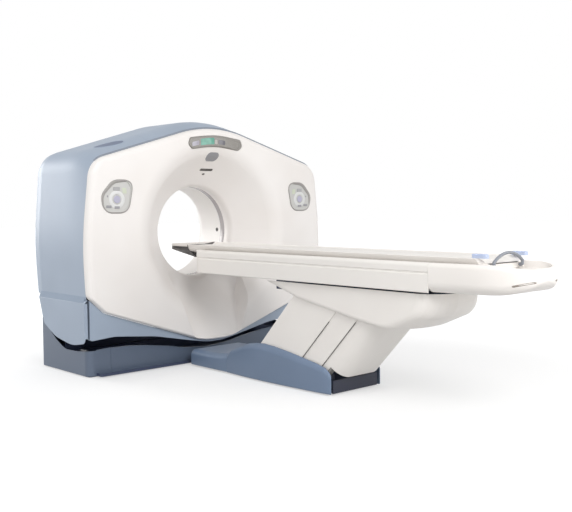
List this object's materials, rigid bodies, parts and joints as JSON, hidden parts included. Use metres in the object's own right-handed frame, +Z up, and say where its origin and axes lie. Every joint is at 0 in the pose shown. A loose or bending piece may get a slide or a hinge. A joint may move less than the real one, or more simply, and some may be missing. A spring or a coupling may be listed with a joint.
{
  "type": "ct_scanner",
  "caption": "Tilting ring-shaped scanner gantry on a low plinth, facing a patient table with a parallelogram lift, a travelling support and a sliding cradle.",
  "frame": {"origin": "on the floor beneath the centre of the gantry bore", "axes": "+X across the gantry, +Y along the bore from the table to the gantry back, +Z up"},
  "size_m": [2.264, 3.777, 1.872],
  "materials": {
    "cover_white": "smooth satin",
    "cover_blue": "smooth satin",
    "plinth_slate": "satin",
    "base_blue": "satin",
    "base_grey": "satin",
    "skirt_dark": "satin",
    "frame_paint": "satin",
    "gear_steel": "machined",
    "drive_paint": "gloss",
    "rotor_cast": "cast",
    "tube_steel": "satin",
    "collimator_steel": "satin",
    "slip_disc": "moulded",
    "leg_steel": "satin",
    "table_white": "satin",
    "support_white": "powder coated",
    "cradle_composite": "smooth",
    "tip_carbon": "satin",
    "mat_vinyl": "soft",
    "handle_grey": "satin",
    "grip_blue": "matte",
    "window_dark": "gloss",
    "plate_grey": "satin",
    "bezel_grey": "satin",
    "screen": "gloss",
    "panel_grey": "satin",
    "button_lavender": "gloss",
    "key_grey": "satin"
  },
  "bodies": {
    "ground_frame": {"gantry_base_frame": "frame_paint", "tilt_stanchion_right": "frame_paint", "tilt_stanchion_left": "frame_paint", "tilt_gear_motor": "drive_paint", "plinth_front_cover": "plinth_slate", "plinth_side_cover_right": "plinth_slate", "plinth_side_cover_left": "plinth_slate", "table_base_frame": "frame_paint", "base_cover_right": "base_blue", "base_cover_left": "base_blue", "base_front_cover": "base_grey", "base_foot_skirt": "skirt_dark", "lift_actuator_body": "drive_paint"},
    "tilting_gantry": {"tilt_frame": "frame_paint", "tilt_sector_gear": "gear_steel", "bearing_outer_ring": "gear_steel", "front_cover": "cover_white", "side_cover_right": "cover_blue", "side_cover_left": "cover_blue", "top_cover": "cover_blue", "side_skirt_right": "cover_blue", "side_skirt_left": "cover_blue", "lower_front_band": "cover_blue", "rear_cover": "cover_blue", "scan_window": "window_dark", "laser_windows": "window_dark", "oval_plate": "plate_grey", "display_bezel": "bezel_grey", "display_screen": "screen", "control_panel_right": "panel_grey", "control_panel_left": "panel_grey"},
    "pinion": {"tilt_pinion": "gear_steel"},
    "rotor": {"rotor_drum": "rotor_cast", "bearing_inner_ring": "gear_steel", "xray_tube": "tube_steel", "collimator": "collimator_steel", "detector_arc": "rotor_cast", "high_voltage_unit": "rotor_cast", "heat_exchanger": "rotor_cast", "slip_ring": "slip_disc"},
    "button_round_right": {"round_button_right": "button_lavender"},
    "button_round_left": {"round_button_left": "button_lavender"},
    "button_key_right": {"key_button_right": "key_grey"},
    "button_key_left": {"key_button_left": "key_grey"},
    "front_lift_leg": {"front_leg": "leg_steel", "lift_covers_front": "table_white"},
    "rear_lift_leg": {"rear_leg": "leg_steel", "lift_cover_rear": "table_white"},
    "middle_lift_link": {"mid_link": "leg_steel", "lift_covers_middle": "table_white"},
    "lift_rod": {"actuator_rod": "gear_steel"},
    "table_top_frame": {"upper_frame": "frame_paint", "upper_frame_cover": "table_white"},
    "support": {"support_body": "support_white", "foot_end_cover": "table_white"},
    "cradle": {"cradle_board": "cradle_composite", "cradle_mat": "mat_vinyl", "cradle_tip": "tip_carbon", "handle_grips": "grip_blue"},
    "handle": {"release_handle": "handle_grey"}
  },
  "joints": [
    {"name": "gantry_tilt", "type": "hinge", "parent": "ground_frame", "child": "tilting_gantry", "pos_m": [0, 0, 1.015], "axis": [-1, 0, 0], "range_deg": [-30, 30]},
    {"name": "tilt_pinion_spin", "type": "hinge", "parent": "ground_frame", "child": "pinion", "pos_m": [0.876, 0, 0.805], "axis": [-1, 0, 0], "range_deg": [-180, 180]},
    {"name": "rotor_spin", "type": "hinge", "parent": "tilting_gantry", "child": "rotor", "pos_m": [0, 0, 1.015], "axis": [0, 1, 0], "continuous": true},
    {"name": "round_button_right_press", "type": "slide", "parent": "tilting_gantry", "child": "button_round_right", "axis": [0, 1, 0], "range_m": [0, 0.003], "stiffness_N_per_m": 400},
    {"name": "round_button_left_press", "type": "slide", "parent": "tilting_gantry", "child": "button_round_left", "axis": [0, 1, 0], "range_m": [0, 0.003], "stiffness_N_per_m": 400},
    {"name": "key_right_press", "type": "slide", "parent": "tilting_gantry", "child": "button_key_right", "axis": [0, 1, 0], "range_m": [0, 0.003], "stiffness_N_per_m": 300},
    {"name": "key_left_press", "type": "slide", "parent": "tilting_gantry", "child": "button_key_left", "axis": [0, 1, 0], "range_m": [0, 0.003], "stiffness_N_per_m": 300},
    {"name": "table_lift", "type": "hinge", "parent": "ground_frame", "child": "front_lift_leg", "pos_m": [0, -1.385, 0.115], "axis": [-1, 0, 0], "range_deg": [-38, 8.3]},
    {"name": "rear_leg_swing", "type": "hinge", "parent": "ground_frame", "child": "rear_lift_leg", "pos_m": [0, -1.79, 0.115], "axis": [-1, 0, 0], "range_deg": [-38, 8.3]},
    {"name": "middle_link_swing", "type": "hinge", "parent": "ground_frame", "child": "middle_lift_link", "pos_m": [0, -1.64, 0.115], "axis": [-1, 0, 0], "range_deg": [-38, 8.3]},
    {"name": "top_frame_level", "type": "hinge", "parent": "front_lift_leg", "child": "table_top_frame", "pos_m": [0, -1.8797, 0.63813], "axis": [-1, 0, 0], "range_deg": [-8.3, 38]},
    {"name": "lift_rod_stroke", "type": "slide", "parent": "ground_frame", "child": "lift_rod", "axis": [0, -1, 0], "range_m": [-0.0395, 0.0095]},
    {"name": "support_travel", "type": "slide", "parent": "table_top_frame", "child": "support", "axis": [0, 1, 0], "range_m": [-0.3, 0]},
    {"name": "cradle_travel", "type": "slide", "parent": "support", "child": "cradle", "axis": [0, 1, 0], "range_m": [-0.15, 1.55]},
    {"name": "release_handle_pull", "type": "hinge", "parent": "cradle", "child": "handle", "pos_m": [0, -3.026, 0.873], "axis": [1, 0, 0], "range_deg": [0, 35], "stiffness_Nm_per_rad": 4}
  ],
  "couplings": [
    {"joint": "tilt_pinion_spin", "follows": "gantry_tilt", "ratio": -6},
    {"joint": "rear_leg_swing", "follows": "table_lift", "ratio": 1},
    {"joint": "middle_link_swing", "follows": "table_lift", "ratio": 1},
    {"joint": "top_frame_level", "follows": "table_lift", "ratio": -1},
    {"joint": "lift_rod_stroke", "follows": "table_lift", "m_per_rad": 0.0587}
  ]
}
